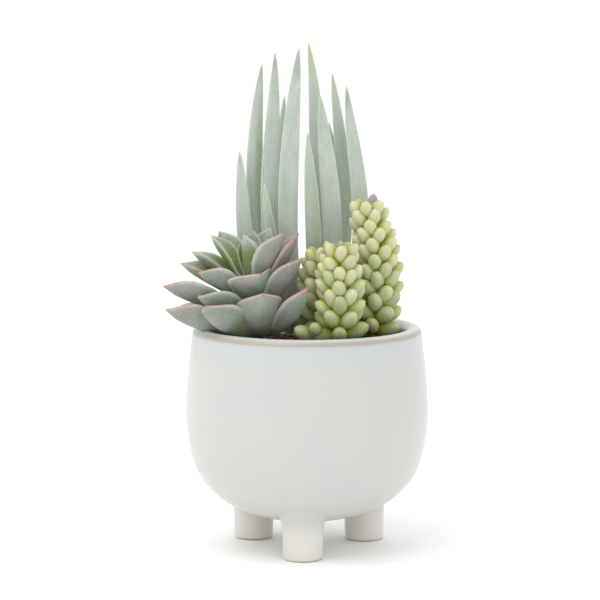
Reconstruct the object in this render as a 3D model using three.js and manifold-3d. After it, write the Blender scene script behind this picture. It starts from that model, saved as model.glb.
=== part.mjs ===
// A planted bowl: a round glazed pot on three short feet, filled with soil, holding a rosette
// succulent, two burro's tail sedums and a clump of upright sword-shaped leaves.
// Millimetres, +Z up. The pieces are laid out round the pot's axis, and the finished group is then
// moved so that the middle of its box, on the surface it stands on, is the origin.
import * as THREE from 'three';
import { mergeVertices } from 'three/addons/utils/BufferGeometryUtils.js';
import Module from 'manifold-3d';

const wasm = await Module();
wasm.setup();

// ---- Driving dimensions: the pot ----
const POT_SIDES = 36;
// Outside from the middle of the base up to the lip, as radius and height.
const POT_OUTSIDE = [[0, 13.5], [20, 14.6], [35.4, 20], [46.5, 29.6], [52, 40.2], [54.8, 55],
  [54.9, 68], [53.7, 83], [52, 97.2]];
// Inside from the lip down to the middle of the floor.
const POT_INSIDE = [[44.6, 97.2], [46.6, 84], [48.4, 66], [46.6, 49], [40, 36.5], [26, 28], [0, 25.5]];
const OUTSIDE_STEPS = 11;
const INSIDE_STEPS = 6;
const LIP_HEIGHT = 3.6;
const LIP_TURNS = [45, 90, 135];
const FOOT_COUNT = 3;
const FOOT_CIRCLE = 29.6;
const FOOT_FIRST_ANGLE = -93.6;
// One foot from the middle of its flat sole up into the wall of the pot, as radius and height.
const FOOT_OUTSIDE = [[0, 0], [7.5, 0], [8.6, 0.5], [8.95, 1.6], [9.2, 14], [9.3, 23.5], [0, 23.5]];

// ---- Driving dimensions: the soil ----
const GAP = 0.3;
const SOIL_LEVEL = 95.3;
const SOIL_RISE = 1.6;
const SOIL_GRIT = 0.5;
const SOIL_RINGS = [0.3, 0.58, 0.82];
const HOLE_TOP = 110;

// ---- Driving dimensions: the rosette ----
const BLADE_SIDES = 6;
const ROSETTE_FOOT = [-21, -12, 96];
const ROSETTE_TOP = [-26, -13, 124];
const ROSETTE_STEM_RADIUS = 5;
const ROSETTE_ROOT = 72;
const LEAF_THICK = 3.6;
const LEAF_THINNEST = 0.8;
const LEAF_CUP = 0.7;
const LEAF_RINGS = [0.05, 0.3, 0.58, 0.83];
// Its outline is u^rise * (1 - u^fall), with u going from the foot's share to 1 along the leaf.
const LEAF_OUTLINE = { foot: 0.12, rise: 0.85, fall: 5 };
// Each leaf: azimuth, rise at its root, how much more it curls up, length, width, seat on the stem
// from its foot to its top, and roll, which lowers the margin on the right of someone looking out.
const ROSETTE_LEAVES = [
  [-170, -5, 40, 44.6, 19, 0.12, 20], [-132, -5.2, 60, 39.2, 19, 0.10, 16], [-85, 11, 62, 35, 21, 0.06, 12],
  [-36, -0.4, 80, 38.1, 15, 0.12, 0], [5, 45, 25, 20, 15, 0.15, 0], [45, 30, 30, 26, 16, 0.15, 0],
  [95, 25, 30, 26, 17, 0.15, 0], [140, 12, 25, 33, 17, 0.15, 0],
  [160, 1, 20, 38, 15, 0.25, 0], [-148, 12, 20, 33, 18, 0.32, 12], [-20, 42, 20, 35.5, 18, 0.35, 0],
  [25, 46, 20, 27, 15, 0.42, 0], [70, 38, 30, 26, 15, 0.45, 0], [118, 32, 20, 28, 15, 0.50, 0],
  [182, 4, 24, 43.2, 20, 0.45, 10], [-77, 19, 44, 22.5, 23, 0.62, 18], [0, 51, 15, 38.5, 14, 0.55, 10],
  [168, 21, 10, 37.5, 15, 0.62, -10], [-160, 16.5, 20, 29, 17, 0.66, 12], [-28, 54, 15, 33.5, 17, 0.70, 0],
  [160, 25.5, 10, 33.5, 13, 0.78, 0], [125, 38.5, 10, 36, 13, 0.80, 0], [55, 56, 10, 31, 11, 0.80, 0],
  [80, 68, 10, 26, 9, 0.85, 0], [155, 43, 12, 30, 12, 0.85, 0], [95, 66, 10, 20, 11, 0.95, 0],
  [-140, 76.8, 8, 22.8, 11, 0.90, 0], [-40, 70, 20, 11, 6, 1, 0],
];

// ---- Driving dimensions: the sword leaves ----
const SWORD_THICK = 2.6;
const SWORD_CUP = 0.12;
const SWORD_KEEL = 0.25;
const SWORD_THINNEST = 0.7;
const SWORD_RINGS = [0.02, 0.18, 0.34, 0.5, 0.65, 0.8, 0.93];
const SWORD_FOOT_WIDTH = 0.72;
const CROWN_CENTRE = [-1, 19];
const CROWN_RADII = [14.5, 10];
const CROWN_TOP = 96;
const CROWN_ROOT = 74;
const SWORD_FOOT_LEVEL = 92;
// Each leaf: its foot in the crown, two points that it passes, its tip, its width, and the azimuth
// that its keeled back faces.
const SWORD_LEAVES = [
  [[-9, 17], [-27.8, 14, 138.4], [-29.5, 14, 160], [-30.7, 14, 179.1], 8, -110],
  [[-8, 20], [-22.9, 22, 144.6], [-23.8, 22, 179.1], [-20.5, 22, 218.8], 8, -90],
  [[-6, 16], [-16.9, 15, 145.2], [-16.4, 15, 179.5], [-14.5, 15, 223.9], 8.3, -80],
  [[-4, 24], [-11, 28, 140], [-11.5, 28, 179.1], [-10.3, 28, 204], 7, 90],
  [[-5, 25], [-13, 30, 140], [-13, 30, 168], [-12.2, 30, 190.6], 7, 110],
  [[-3, 14], [-8.6, 10, 145.2], [-7.7, 10, 179.8], [-3.6, 10, 226], 9, -90],
  [[-7, 13], [-14, 6.5, 130], [-17.5, 6, 150], [-19.2, 6, 164.8], 6, -100],
  [[2, 22], [4, 22, 145], [4.2, 22, 190], [0.5, 22, 228.5], 8, -80],
  [[5, 14], [11.4, 10, 145.2], [8.6, 10, 179.8], [5.9, 10, 204.8], 9, -90],
  [[1, 12.5], [2.9, 6, 141.5], [1.8, 6, 161.9], [0.2, 6, 188.1], 7.2, -90],
  [[3, 25], [12, 28, 140], [12.4, 28, 170], [10, 28, 191.6], 7, 90],
  [[6, 21], [17.1, 24, 144.4], [15.6, 24, 179], [11.4, 24, 214.6], 8.3, -60],
  [[7.5, 17], [24.5, 16, 144], [21.4, 16, 179.4], [17.9, 16, 208.7], 8.3, -70],
];

// ---- Driving dimensions: the burro's tails ----
const BEAD_SIDES = 5;
const BEADS_PER_WHORL = 5;
const TAIL_STEM_RADIUS = 2.4;
const TAIL_CORE_RADIUS = 4.4;
const TAIL_ROOT = 76;
// Each tail: foot, bend and top of its beaded stretch, number of whorls, azimuth of its first bead,
// bead length and width at the foot and at the top, and a seed for its shakes.
const FRONT_TAIL = {
  foot: [14.5, -21, 98], bend: [14.5, -21, 114], top: [14.5, -20, 130], whorls: 9, turn: -90,
  length: [13, 11.2], width: [8, 6.7], seed: 1,
};
const SIDE_TAIL = {
  foot: [8, -5.5, 98], bend: [7, -5.5, 112], top: [6.5, -6, 126], whorls: 8, turn: -126,
  length: [14.5, 12], width: [8.4, 7.1], seed: 2,
};
const TALL_TAIL = {
  foot: [30, -2, 98.5], bend: [35, -1, 122], top: [27, 1, 148], whorls: 13, turn: -98,
  length: [13, 11], width: [7.9, 6.5], seed: 3,
};
const BEAD_RINGS = [0.26, 0.58, 0.88];
const BEAD_WIDEST = 0.55;
const BEAD_FULLNESS = 0.45;
const BEAD_RISE = 38;
const BEAD_RISE_AT_FOOT = 20;
const BEAD_RISE_AT_TOP = 54;
// How far a bead's azimuth and rise in degrees, its length and width as shares, and its seat are
// shaken, each way.
const BEAD_SHAKES = { azimuth: 5, rise: 6, size: 0.06, seat: 0.6 };
// Beads are missing where they would grow into a neighbour: [x, y, clearance] of upright lines.
const FRONT_TAIL_NEIGHBOURS = [[31.5, -1, 15]];
const SIDE_TAIL_NEIGHBOURS = [[14.5, -21, 11], [31, 0, 16], [2.5, 7.5, 8], [11, 11.5, 8]];

const degrees = THREE.MathUtils.degToRad;
const vector = ([x, y, z]) => new THREE.Vector3(x, y, z);
const UP = vector([0, 0, 1]);

// The unit vector that points to an azimuth and rises by an angle, both in degrees.
function heading(azimuth, rise) {
  const level = Math.cos(degrees(rise));
  return vector([level * Math.cos(degrees(azimuth)), level * Math.sin(degrees(azimuth)),
    Math.sin(degrees(rise))]);
}

// A number between -1 and 1 that is the same each time for the same place in a row of draws.
function shake(seed, draw) {
  const wave = Math.sin(seed * 127.1 + draw * 311.7) * 4375.85;
  return 2 * (wave - Math.floor(wave)) - 1;
}

// ---- Solids ----

// A closed geometry as a solid, with its shared corners merged and its empty triangles dropped.
function solidOf(geometry) {
  geometry.deleteAttribute('normal');
  geometry.deleteAttribute('uv');
  const merged = mergeVertices(geometry, 1e-4);
  const corners = merged.index.array;
  const kept = [];
  for (let i = 0; i < corners.length; i += 3) {
    const [a, b, c] = corners.slice(i, i + 3);
    if (a !== b && b !== c && c !== a) kept.push(a, b, c);
  }
  return new wasm.Manifold(new wasm.Mesh({
    numProp: 3,
    vertProperties: merged.getAttribute('position').array,
    triVerts: new Uint32Array(kept),
  }));
}

// The largest body of a solid, with any sealed hollow in it filled.
function wholeBody(solid) {
  const bodies = solid.decompose().filter((body) => body.volume() > 0);
  return bodies.sort((a, b) => b.volume() - a.volume())[0];
}

// A solid as a named mesh.
function meshOf(name, solid, material) {
  const { numProp, vertProperties, triVerts } = solid.getMesh();
  const geometry = new THREE.BufferGeometry();
  const positions = new Float32Array((vertProperties.length / numProp) * 3);
  for (let i = 0; i < positions.length / 3; i += 1) {
    positions.set(vertProperties.subarray(i * numProp, i * numProp + 3), i * 3);
  }
  geometry.setAttribute('position', new THREE.BufferAttribute(positions, 3));
  geometry.setIndex(new THREE.BufferAttribute(new Uint32Array(triVerts), 1));
  geometry.computeVertexNormals();
  const mesh = new THREE.Mesh(geometry, material);
  mesh.name = name;
  return mesh;
}

// A profile of [radius, height] pairs turned round the Z axis.
function turned(profile, sides) {
  const lathe = new THREE.LatheGeometry(profile.map(([r, z]) => new THREE.Vector2(r, z)), sides);
  return solidOf(lathe.rotateX(Math.PI / 2));
}

// A skin over rings of equally many points, closed by a fan from a point at each end.
function lofted(rings, start, end) {
  const sides = rings[0].length;
  const points = [...rings.flat(), start, end];
  const first = rings.length * sides;
  const last = first + 1;
  const faces = [];
  for (let k = 0; k < sides; k += 1) {
    const next = (k + 1) % sides;
    const top = first - sides;
    faces.push(first, k, next, last, top + next, top + k);
    for (let row = 0; row < top; row += sides) {
      faces.push(row + k, row + sides + k, row + sides + next);
      faces.push(row + k, row + sides + next, row + next);
    }
  }
  const geometry = new THREE.BufferGeometry().setFromPoints(points);
  geometry.setIndex(faces);
  return solidOf(geometry);
}

// A round rod between two points.
function rod(from, to, radius, sides) {
  const axis = new THREE.Vector3().subVectors(to, from);
  const geometry = new THREE.CylinderGeometry(radius, radius, axis.length(), sides);
  const turn = new THREE.Quaternion().setFromUnitVectors(THREE.Object3D.DEFAULT_UP, axis.normalize());
  geometry.applyQuaternion(turn);
  geometry.translate(...from.clone().add(to).divideScalar(2).toArray());
  return solidOf(geometry);
}

// ---- The pot ----

function potProfile() {
  const curve = (points, steps) => new THREE.SplineCurve(points.map(([r, z]) => new THREE.Vector2(r, z)))
    .getPoints(steps).map((p) => [Math.max(p.x, 0), p.y]);
  const [outerRadius, lipBase] = POT_OUTSIDE.at(-1);
  const [innerRadius] = POT_INSIDE[0];
  const lip = [];
  for (const turn of LIP_TURNS) {
    const angle = degrees(turn);
    const halfWidth = (outerRadius - innerRadius) / 2;
    lip.push([innerRadius + halfWidth * (1 + Math.cos(angle)), lipBase + LIP_HEIGHT * Math.sin(angle)]);
  }
  return [...curve(POT_OUTSIDE, OUTSIDE_STEPS), ...lip, ...curve(POT_INSIDE, INSIDE_STEPS)];
}

function pot() {
  let solid = turned(potProfile(), POT_SIDES);
  for (let foot = 0; foot < FOOT_COUNT; foot += 1) {
    const angle = degrees(FOOT_FIRST_ANGLE + (360 / FOOT_COUNT) * foot);
    const place = [FOOT_CIRCLE * Math.cos(angle), FOOT_CIRCLE * Math.sin(angle), 0];
    solid = solid.add(turned(FOOT_OUTSIDE, 18).translate(place));
  }
  const glaze = new THREE.MeshStandardMaterial({ color: '#dcdcd8', roughness: 0.35, metalness: 0 });
  return meshOf('pot', solid, glaze);
}

// ---- The soil ----

// Height of the soil's surface: it rises gently towards the back right and is gritty.
function soilHeight(x, y) {
  const reach = POT_INSIDE[0][0];
  const grit = Math.sin(x * 0.9 + 1) * Math.cos(y * 0.8) + Math.sin(x * 0.37 - y * 0.51);
  return SOIL_LEVEL + SOIL_RISE * (x + y) / (2 * reach) + SOIL_GRIT * grit / 2;
}

function soil(holes) {
  const wall = new THREE.SplineCurve(POT_INSIDE.map(([r, z]) => new THREE.Vector2(r, z)));
  const below = wall.getPoints(INSIDE_STEPS).filter((p) => p.y < SOIL_LEVEL - 4).reverse();
  const side = below.map((p) => [Math.max(p.x - GAP, 0), p.y + GAP]);
  const rim = POT_INSIDE[0][0] - 2 * GAP;
  const profile = [...side, [rim, SOIL_LEVEL], ...SOIL_RINGS.toReversed().map((s) => [rim * s, SOIL_LEVEL]),
    [0, SOIL_LEVEL]];
  const lathe = new THREE.LatheGeometry(profile.map(([r, z]) => new THREE.Vector2(r, z)), POT_SIDES);
  lathe.rotateX(Math.PI / 2);
  const places = lathe.getAttribute('position');
  for (let i = 0; i < places.count; i += 1) {
    if (Math.abs(places.getZ(i) - SOIL_LEVEL) < GAP) {
      places.setZ(i, soilHeight(places.getX(i), places.getY(i)));
    }
  }
  const filled = holes.reduce((solid, hole) => solid.subtract(hole), solidOf(lathe));
  const earth = new THREE.MeshStandardMaterial({ color: '#4b3d30', roughness: 0.95, metalness: 0 });
  return meshOf('soil', filled, earth);
}

// ---- Blades ----

// One ring of a blade: its margins ride up by cup, its face is flatter than its back, and a keel
// ridges the back.
function bladeRing(centre, tangent, across, half, thick, cup, keel) {
  const side = across.clone().addScaledVector(tangent, -across.dot(tangent)).normalize();
  const up = new THREE.Vector3().crossVectors(side, tangent);
  const ring = [];
  for (let k = 0; k < BLADE_SIDES; k += 1) {
    const angle = (2 * Math.PI * k) / BLADE_SIDES;
    const reach = Math.cos(angle);
    const height = Math.sin(angle);
    let lift = cup * Math.abs(reach) ** 1.7 + (thick / 2) * height * (height > 0 ? 0.55 : 1);
    if (height < 0) lift += keel * (1 - Math.abs(reach)) * height * half / 2;
    ring.push(centre.clone().addScaledVector(side, half * reach).addScaledVector(up, lift));
  }
  return ring;
}

// Half width along a rosette leaf, as a share of its greatest half width.
function leafOutline(t) {
  const { foot, rise, fall } = LEAF_OUTLINE;
  const outline = (u) => (u ** rise) * (1 - u ** fall);
  const widest = (rise / (rise + fall)) ** (1 / fall);
  return outline(foot + (1 - foot) * t) / outline(widest);
}

// A rosette leaf: widest past its middle, pointed, cupped, and curling up along its length.
function rosetteLeaf([azimuth, rise, curl, length, width, seat, roll]) {
  const outward = heading(azimuth, 0);
  const level = new THREE.Vector3().crossVectors(outward, UP);
  const base = vector(ROSETTE_FOOT).lerp(vector(ROSETTE_TOP), seat);
  const bend = degrees(curl);
  const start = degrees(rise);
  const along = (t) => {
    const slope = start + bend * t;
    const run = (length / bend) * (Math.sin(slope) - Math.sin(start));
    const climb = (length / bend) * (Math.cos(start) - Math.cos(slope));
    return base.clone().addScaledVector(outward, run).addScaledVector(UP, climb);
  };
  const rings = LEAF_RINGS.map((t) => {
    const tangent = heading(azimuth, rise + curl * t);
    const across = level.clone().applyAxisAngle(tangent, degrees(roll));
    const half = (width / 2) * leafOutline(t);
    const thick = Math.max(LEAF_THICK * (1 - 0.55 * t), LEAF_THINNEST);
    return bladeRing(along(t), tangent, across, half, thick, LEAF_CUP * half * Math.min(2.2 * t, 1), 0);
  });
  return lofted(rings, along(0), along(1));
}

function rosette() {
  const foot = vector(ROSETTE_FOOT);
  const root = foot.clone().setZ(ROSETTE_ROOT);
  let solid = rod(root, foot.clone().addScaledVector(UP, 3), ROSETTE_STEM_RADIUS, 12);
  solid = solid.add(rod(foot, vector(ROSETTE_TOP), ROSETTE_STEM_RADIUS, 12));
  for (const leaf of ROSETTE_LEAVES) solid = solid.add(rosetteLeaf(leaf));
  const skin = new THREE.MeshStandardMaterial({ color: '#9aa79f', roughness: 0.6, metalness: 0 });
  return meshOf('rosette', wholeBody(solid), skin);
}

// The cubic that passes four points at shares of the way that go with their distances.
function cubicThrough(points) {
  const knots = [0];
  for (let i = 1; i < 4; i += 1) knots.push(knots[i - 1] + points[i].distanceTo(points[i - 1]));
  const shares = knots.map((knot) => knot / knots[3]);
  return (t) => points.reduce((sum, point, i) => {
    const weight = shares.reduce((w, other, j) => (j === i ? w : w * (t - other) / (shares[i] - other)), 1);
    return sum.addScaledVector(point, weight);
  }, new THREE.Vector3());
}

// A sword leaf: upright, slowly widening to its middle, then tapering to a point.
function swordLeaf([[footX, footY], low, mid, tip, width, facing]) {
  const place = cubicThrough([vector([footX, footY, SWORD_FOOT_LEVEL]), ...[low, mid, tip].map(vector)]);
  const across = new THREE.Vector3().crossVectors(UP, heading(facing, 0));
  const rings = SWORD_RINGS.map((t) => {
    const tangent = place(Math.min(t + 0.01, 1)).sub(place(Math.max(t - 0.01, 0))).normalize();
    const widening = SWORD_FOOT_WIDTH + (1 - SWORD_FOOT_WIDTH) * Math.sin(Math.PI * t);
    const half = (width / 2) * (t < 0.5 ? widening : 1 - (2 * t - 1) ** 2);
    const thick = Math.max(SWORD_THICK * (1 - 0.25 * t), SWORD_THINNEST);
    return bladeRing(place(t), tangent, across, half, thick, SWORD_CUP * half, SWORD_KEEL);
  });
  return lofted(rings, place(0), place(1));
}

// The crown that the sword leaves grow from, wider by a margin for the hole that it stands in.
function swordCrown(margin, top) {
  const post = new THREE.CylinderGeometry(1, 1, top - CROWN_ROOT + margin, 24);
  post.rotateX(Math.PI / 2);
  post.scale(CROWN_RADII[0] + margin, CROWN_RADII[1] + margin, 1);
  post.translate(...CROWN_CENTRE, (top + CROWN_ROOT - margin) / 2);
  return solidOf(post);
}

function swordClump() {
  const solid = SWORD_LEAVES.reduce((sum, leaf) => sum.add(swordLeaf(leaf)), swordCrown(0, CROWN_TOP));
  const skin = new THREE.MeshStandardMaterial({ color: '#becac3', roughness: 0.65, metalness: 0 });
  return meshOf('sword_leaves', wholeBody(solid), skin);
}

// ---- The burro's tails ----

// A bead: a plump leaf, round in section, widest past its middle.
function bead(base, direction, length, width) {
  const side = new THREE.Vector3().crossVectors(UP, direction).normalize();
  const up = new THREE.Vector3().crossVectors(side, direction);
  const along = (t) => base.clone().addScaledVector(direction, length * t);
  const rings = BEAD_RINGS.map((t) => {
    const spread = (t - BEAD_WIDEST) / (t > BEAD_WIDEST ? 1 - BEAD_WIDEST : 1.13 * BEAD_WIDEST);
    const radius = (width / 2) * (1 - spread ** 2) ** BEAD_FULLNESS;
    const ring = [];
    for (let k = 0; k < BEAD_SIDES; k += 1) {
      const angle = (2 * Math.PI * k) / BEAD_SIDES;
      const point = along(t).addScaledVector(side, radius * Math.cos(angle));
      ring.push(point.addScaledVector(up, radius * Math.sin(angle)));
    }
    return ring;
  });
  return lofted(rings, along(0), along(1));
}

// The line that a tail's stem follows through its beads.
function tailAxis(tail) {
  return new THREE.QuadraticBezierCurve3(vector(tail.foot), vector(tail.bend), vector(tail.top));
}

// The beads of a tail, in whorls that are each turned half a step from the last.
function beadsOf(tail, neighbours) {
  const beads = [];
  const axis = tailAxis(tail);
  for (let whorl = 0; whorl < tail.whorls; whorl += 1) {
    const order = whorl / (tail.whorls - 1);
    const share = order * (1.2 - 0.2 * order);
    const low = Math.max(1 - share / 0.2, 0) * (BEAD_RISE - BEAD_RISE_AT_FOOT);
    const high = Math.max((share - 0.8) / 0.2, 0) ** 1.3 * (BEAD_RISE_AT_TOP - BEAD_RISE);
    for (let turn = 0; turn < BEADS_PER_WHORL; turn += 1) {
      const draw = 5 * (whorl * BEADS_PER_WHORL + turn);
      const shakes = [0, 1, 2, 3, 4].map((k) => shake(tail.seed, draw + k));
      const step = (360 / BEADS_PER_WHORL) * (turn + (whorl % 2) / 2);
      const azimuth = tail.turn + step + BEAD_SHAKES.azimuth * shakes[0];
      const direction = heading(azimuth, BEAD_RISE + high - low + BEAD_SHAKES.rise * shakes[1]);
      const length = THREE.MathUtils.lerp(...tail.length, share ** 2) * (1 + BEAD_SHAKES.size * shakes[2]);
      const width = THREE.MathUtils.lerp(...tail.width, share ** 2) * (1 + BEAD_SHAKES.size * shakes[3]);
      const base = axis.getPoint(share).addScaledVector(UP, BEAD_SHAKES.seat * shakes[4]).add(direction);
      const end = base.clone().addScaledVector(direction, 0.75 * length);
      const clear = neighbours.every(([x, y, room]) => Math.hypot(end.x - x, end.y - y) > room);
      if (clear) beads.push(bead(base, direction, length, width));
    }
  }
  return beads;
}

function tailStem(tail, root) {
  const [foot, middle, top] = tailAxis(tail).getPoints(2);
  const overlap = vector([0, 0, 2]);
  return rod(vector([foot.x, foot.y, root]), foot, TAIL_STEM_RADIUS, 8)
    .add(rod(foot, middle.clone().add(overlap), TAIL_CORE_RADIUS, 8))
    .add(rod(middle, top.add(overlap), TAIL_CORE_RADIUS, 8));
}

const sedumSkin = new THREE.MeshStandardMaterial({ color: '#c3cd94', roughness: 0.5, metalness: 0 });

function frontSedum() {
  const joint = vector(FRONT_TAIL.foot).addScaledVector(UP, 1);
  const shoot = rod(joint, vector(SIDE_TAIL.foot).addScaledVector(UP, 3), TAIL_STEM_RADIUS, 8);
  const stems = tailStem(FRONT_TAIL, TAIL_ROOT).add(tailStem(SIDE_TAIL, SIDE_TAIL.foot[2] + 1)).add(shoot);
  const beads = [...beadsOf(FRONT_TAIL, FRONT_TAIL_NEIGHBOURS), ...beadsOf(SIDE_TAIL, SIDE_TAIL_NEIGHBOURS)];
  return meshOf('sedum_front', wholeBody(beads.reduce((sum, one) => sum.add(one), stems)), sedumSkin);
}

function tallSedum() {
  const stem = tailStem(TALL_TAIL, TAIL_ROOT);
  const solid = beadsOf(TALL_TAIL, []).reduce((sum, one) => sum.add(one), stem);
  return meshOf('sedum_tall', wholeBody(solid), sedumSkin);
}

// ---- Assembly ----

// The plain holes that the stems stand in, each a little wider than its stem.
function stemHoles() {
  const hole = ([x, y], radius, root) => {
    const [from, to] = [vector([x, y, root - GAP]), vector([x, y, HOLE_TOP])];
    return rod(from, to, radius + GAP, 16);
  };
  return [
    hole(ROSETTE_FOOT, ROSETTE_STEM_RADIUS, ROSETTE_ROOT),
    hole(FRONT_TAIL.foot, TAIL_STEM_RADIUS, TAIL_ROOT),
    hole(TALL_TAIL.foot, TAIL_STEM_RADIUS, TAIL_ROOT),
    swordCrown(GAP, HOLE_TOP),
  ];
}

const group = new THREE.Group();
group.add(pot(), soil(stemHoles()), rosette(), swordClump(), frontSedum(), tallSedum());
const box = new THREE.Box3().setFromObject(group, true);
const middle = box.getCenter(new THREE.Vector3());
group.position.set(-middle.x, -middle.y, -box.min.z);

export default group;
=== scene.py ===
import bpy
import numpy as np
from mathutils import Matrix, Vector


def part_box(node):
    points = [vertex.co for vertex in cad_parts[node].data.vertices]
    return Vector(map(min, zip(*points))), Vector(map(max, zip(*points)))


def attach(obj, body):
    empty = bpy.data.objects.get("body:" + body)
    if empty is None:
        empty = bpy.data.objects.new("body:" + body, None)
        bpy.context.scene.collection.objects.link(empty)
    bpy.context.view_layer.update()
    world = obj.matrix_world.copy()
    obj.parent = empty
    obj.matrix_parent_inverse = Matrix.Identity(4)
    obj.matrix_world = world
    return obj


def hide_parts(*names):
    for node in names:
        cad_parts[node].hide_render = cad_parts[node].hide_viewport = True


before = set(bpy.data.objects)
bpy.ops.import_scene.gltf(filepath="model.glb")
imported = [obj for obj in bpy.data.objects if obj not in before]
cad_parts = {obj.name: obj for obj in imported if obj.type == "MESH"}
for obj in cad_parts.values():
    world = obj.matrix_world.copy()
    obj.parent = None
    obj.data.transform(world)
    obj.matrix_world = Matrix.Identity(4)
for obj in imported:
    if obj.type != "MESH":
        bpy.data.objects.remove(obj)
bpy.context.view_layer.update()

# ---- The pot ----
# One piece of slip-cast stoneware with a thick rounded lip and three short round feet. A satin
# white glaze covers it, runs thin over the lip's outer edge, where the beige clay shows through,
# and is wiped off the soles.

# The wall's radius and height, up its outside and down its inside.
POT_OUTSIDE = [[0, 13.5], [20, 14.6], [35.4, 20], [46.5, 29.6], [52, 40.2], [54.8, 55], [54.9, 68],
               [53.7, 83], [52, 97.2]]
POT_INSIDE = [[44.6, 97.2], [46.6, 84], [48.4, 66], [46.6, 49], [40, 36.5], [26, 28], [0, 25.5]]
OUTSIDE_STEPS = 72
INSIDE_STEPS = 48
LIP_STEPS = 20
LIP_HEIGHT = 3.6
POT_SIDES = 192
# The thin glaze's middle and spread in degrees of turn over the lip, from its outer side inwards,
# and how many such degrees a millimetre of wall below the lip counts for.
THIN_GLAZE_TURN = 32
THIN_GLAZE_SPREAD = 22
TURN_PER_MM = 12
FOOT_CIRCLE = 29.6
FOOT_FIRST_ANGLE = -93.6
FOOT_COUNT = 3
FOOT_SIDES = 72
SOLE_EDGE = [[7.5, 0], [8.25, 0.22], [8.7, 0.7], [8.92, 1.5]]
FOOT_RADIUS = 9.2
FOOT_TAPER = 0.28
FOOT_FLARE = 2.6
FLARE_DROP = 4.5
FLARE_EASE = 0.35
FLARE_LIFT = 0.72
FLARE_OVERLAP = 0.3
FLARE_STEPS = 12
FOOT_ROOT = 2
# Heights in metres from which a change of the glaze starts and at which it is complete. The cool
# band near the lip is pooled glaze with a painted reflection, the warm tint near the bottom painted
# bounce light, the pale band near the feet painted fill light and the bare soles wiped clay.
POOLED_REFLECTED_HEIGHTS = (0.082, 0.097)
BOUNCE_HEIGHTS = (0.03, 0.004)
FEET_LIGHT_HEIGHTS = (0.02, 0.008)
WIPED_HEIGHTS = (0.0007, 0.0003)
GLAZE_WHITE = (200, 200, 197)
GLAZE_POOLED_AND_REFLECTED = (194, 199, 201)
GLAZE_WARM_BOUNCE_AND_MOTTLE = (206, 204, 194)
CLAY_BEIGE = (162, 151, 127)
SOLE_CLAY = (186, 174, 150)
FEET_PAINTED_LIGHT = (232, 230, 224)

pot_low, pot_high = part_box("pot")
pot_axis = np.array([(pot_low.x + pot_high.x) / 2, (pot_low.y + pot_high.y) / 2, pot_low.z])
MM = 0.001


def paint(red, green, blue):
    """A colour given as 0 to 255 in each channel, as the linear colour that light adds up in: a
    channel c becomes ((c + 0.055) / 1.055) ** 2.4, and close to black c / 12.92."""
    c = np.array([red, green, blue]) / 255
    linear = np.where(c > 0.04045, ((c + 0.055) / 1.055) ** 2.4, c / 12.92)
    return (*linear.tolist(), 1)


class Value:
    """A socket of a finish. Arithmetic on it adds Math nodes, so that 1 - mask reads as written."""

    def __init__(self, finish, socket):
        self.finish = finish
        self.socket = socket

    def math(self, operation, first, second):
        """The result of a Math node, itself a Value."""
        return self.finish.node("ShaderNodeMath", {"operation": operation}, {0: first, 1: second})

    def __add__(self, other):
        return self.math("ADD", self, other)

    def __sub__(self, other):
        return self.math("SUBTRACT", self, other)

    def __rsub__(self, other):
        return self.math("SUBTRACT", other, self)

    def __mul__(self, other):
        return self.math("MULTIPLY", self, other)

    __radd__ = __add__
    __rmul__ = __mul__


class Finish:
    """A procedural material, built up in steps on one Principled shader."""

    def __init__(self, name, **constants):
        """Starts a material. Each constant is the same all over and set on the shader's socket."""
        self.material = bpy.data.materials.new(name)
        self.material.use_nodes = True
        self.tree = self.material.node_tree
        self.shader = self.tree.nodes["Principled BSDF"]
        for socket, value in constants.items():
            self.shader.inputs[socket.replace("_", " ")].default_value = value
        self.object_place = self.node("ShaderNodeTexCoord", {}, {}, "Object")

    def node(self, kind, settings, sockets, output=0):
        """Adds a node: its settings first, then what each socket is set or linked to."""
        made = self.tree.nodes.new(kind)
        for name, value in settings.items():
            setattr(made, name, value)
        for name, value in sockets.items():
            if isinstance(value, Value):
                self.tree.links.new(value.socket, made.inputs[name])
            else:
                made.inputs[name].default_value = value
        return Value(self, made.outputs[output])

    def attribute(self, name):
        """A number that the mesh carries at each of its points."""
        return self.node("ShaderNodeAttribute", {"attribute_name": name}, {}, "Fac")

    def noise(self, scale, detail=2.0, roughness=0.5, place=None):
        """Soft random cloud from 0 to 1, with this many features to a metre."""
        sockets = {"Vector": place or self.object_place, "Scale": scale, "Detail": detail,
                   "Roughness": roughness}
        return self.node("ShaderNodeTexNoise", {}, sockets)

    def specks(self, scale, size):
        """1 in round dots, one to a cell of a random foam of so many cells to a metre, else 0."""
        sockets = {"Vector": self.object_place, "Scale": scale}
        distance = self.node("ShaderNodeTexVoronoi", {}, sockets)
        return self.step(distance, size, size * 0.5)

    def step(self, value, low, high):
        """Goes smoothly from 0 where the value is low to 1 where it is high."""
        sockets = {"Value": value, "From Min": low, "From Max": high}
        return self.node("ShaderNodeMapRange", {"interpolation_type": "SMOOTHSTEP"}, sockets)

    def mix(self, share, first, second):
        """The first colour where the share is 0, the second where it is 1."""
        return self.node("ShaderNodeMix", {"data_type": "RGBA"}, {0: share, 6: first, 7: second}, 2)

    def relief(self, height, distance, strength=1.0):
        """The normal of a surface that stands up by this distance in metres where height is 1."""
        sockets = {"Height": height, "Distance": distance, "Strength": strength}
        return self.node("ShaderNodeBump", {}, sockets, "Normal")

    def surface(self, **sockets):
        """Links what changes over the surface to the shader's sockets."""
        for name, value in sockets.items():
            self.tree.links.new(value.socket, self.shader.inputs[name.replace("_", " ")])


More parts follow.
